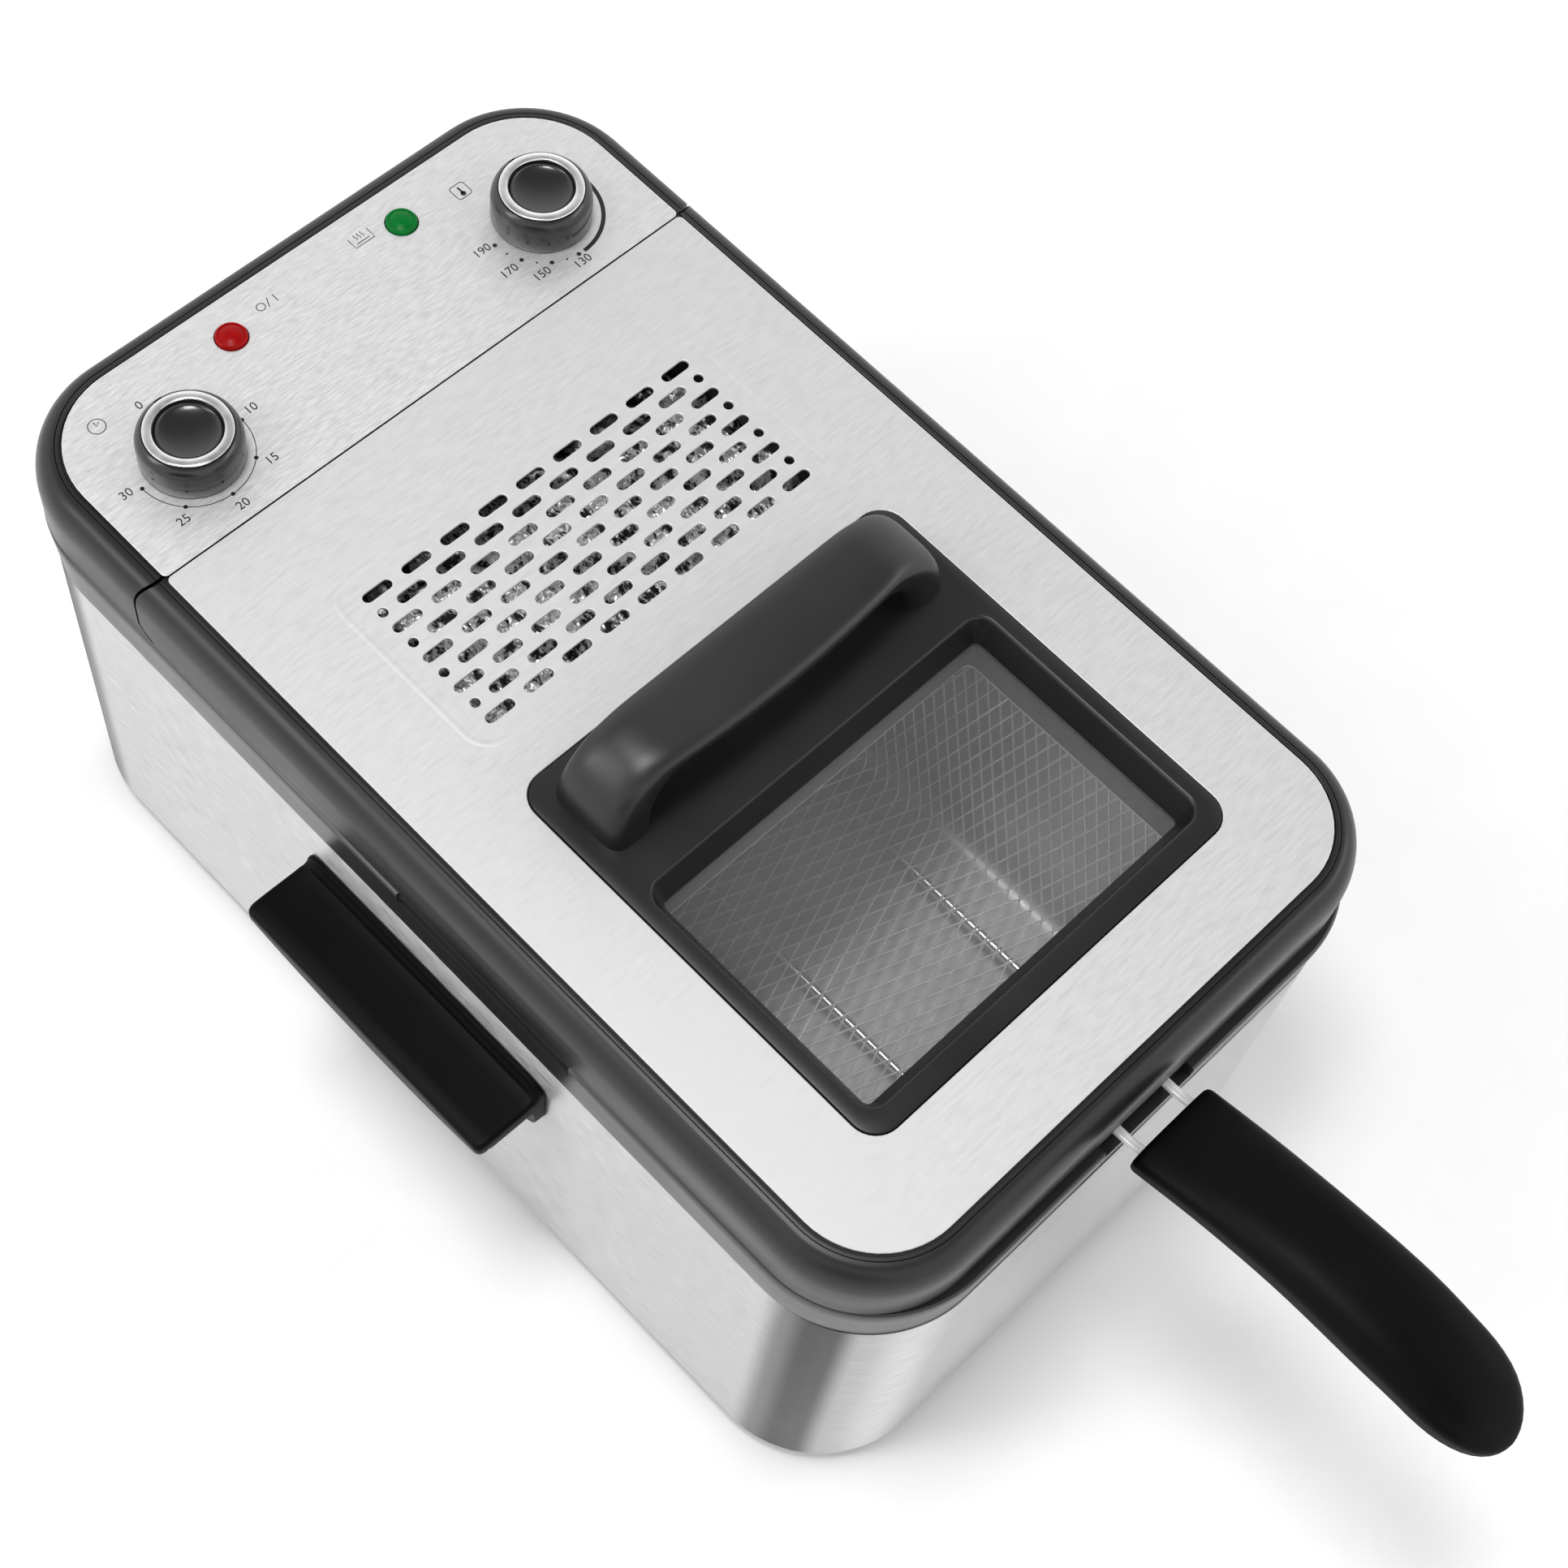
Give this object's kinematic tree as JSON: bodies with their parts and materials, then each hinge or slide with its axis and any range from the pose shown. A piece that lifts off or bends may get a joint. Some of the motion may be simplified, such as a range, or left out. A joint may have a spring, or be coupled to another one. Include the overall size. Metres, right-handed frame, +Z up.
{
  "type": "deep fryer",
  "caption": "Lidded electric deep fryer with a hinged windowed lid, a wire basket on a front grip, a steel housing and a rear panel of two knobs.",
  "frame": {"origin": "on the table, under the middle of the whole object's bounding box", "axes": "+Z up; -Y to the front, where the basket grip points; +Y to the rear, where the control panel is; X across"},
  "size_m": [0.293, 0.55, 0.23],
  "materials": {
    "steel_housing": "brushed along the length",
    "plate_steel": "satin",
    "bright_steel": "bright",
    "chrome": "polished",
    "fastener_steel": "plain",
    "filter_mesh": "woven",
    "pot_steel": "satin",
    "black_plastic": "satin",
    "gloss_black": "gloss",
    "white_plastic": "plain",
    "red_lens": "clear tinted",
    "green_lens": "clear tinted",
    "rubber": "matt",
    "silicone": "smooth",
    "glass": "clear"
  },
  "bodies": {
    "housing": {"outer_shell": "steel_housing", "base_plate": "black_plastic", "foot_front_left": "rubber", "foot_front_right": "rubber", "foot_rear_left": "rubber", "foot_rear_right": "rubber", "base_screw_front_left": "fastener_steel", "base_screw_front_right": "fastener_steel", "base_screw_rear_left": "fastener_steel", "base_screw_rear_right": "fastener_steel", "rim_collar": "black_plastic", "inner_pot": "pot_steel", "heating_element": "fastener_steel", "thermostat_sensor": "bright_steel", "safety_cutout": "black_plastic", "terminal_block": "white_plastic", "cord_inlet": "black_plastic", "control_housing": "black_plastic", "control_panel": "plate_steel", "timer_unit": "white_plastic", "thermostat_unit": "fastener_steel", "red_lamp_lens": "red_lens", "red_lamp_holder": "white_plastic", "green_lamp_lens": "green_lens", "green_lamp_holder": "white_plastic", "side_handle_left": "gloss_black", "side_handle_right": "gloss_black", "handle_screw_left_front": "fastener_steel", "handle_screw_left_rear": "fastener_steel", "handle_screw_right_front": "fastener_steel", "handle_screw_right_rear": "fastener_steel", "hinge_bracket_left": "fastener_steel", "hinge_bracket_right": "fastener_steel", "hinge_pin_left": "bright_steel", "hinge_pin_right": "bright_steel"},
    "lid": {"lid_frame": "black_plastic", "lid_plate": "plate_steel", "lid_liner": "plate_steel", "lid_seal": "silicone", "filter_cover": "plate_steel", "filter_pad": "filter_mesh", "window_frame": "black_plastic", "window_glass": "glass", "window_seal": "silicone"},
    "basket": {"basket_shell": "bright_steel", "basket_rim": "bright_steel", "basket_runner_left": "bright_steel", "basket_runner_middle": "bright_steel", "basket_runner_right": "bright_steel", "basket_strap_left": "bright_steel", "basket_strap_right": "bright_steel", "basket_grip": "gloss_black"},
    "timer_knob": {"timer_knob": "gloss_black", "timer_knob_ring": "chrome", "timer_knob_cap": "black_plastic", "timer_shaft": "fastener_steel"},
    "thermostat_knob": {"thermostat_knob": "gloss_black", "thermostat_knob_ring": "chrome", "thermostat_knob_cap": "black_plastic", "thermostat_shaft": "fastener_steel"}
  },
  "joints": [
    {"name": "lid_hinge", "type": "hinge", "parent": "housing", "child": "lid", "pos_m": [0, 0.1805, 0.1922], "axis": [-1, 0, 0], "range_deg": [0, 80]},
    {"name": "basket_lift", "type": "slide", "parent": "housing", "child": "basket", "axis": [0, 0, 1], "range_m": [0, 0.045]},
    {"name": "timer_turn", "type": "hinge", "parent": "housing", "child": "timer_knob", "pos_m": [-0.0745, 0.2195, 0.202], "axis": [0, 0, -1], "range_deg": [0, 270]},
    {"name": "thermostat_turn", "type": "hinge", "parent": "housing", "child": "thermostat_knob", "pos_m": [0.0745, 0.2195, 0.202], "axis": [0, 0, -1], "range_deg": [0, 270]}
  ],
  "couplings": [
    {"joint": "basket_lift", "follows": "lid_hinge", "m_per_rad": 0.03}
  ]
}
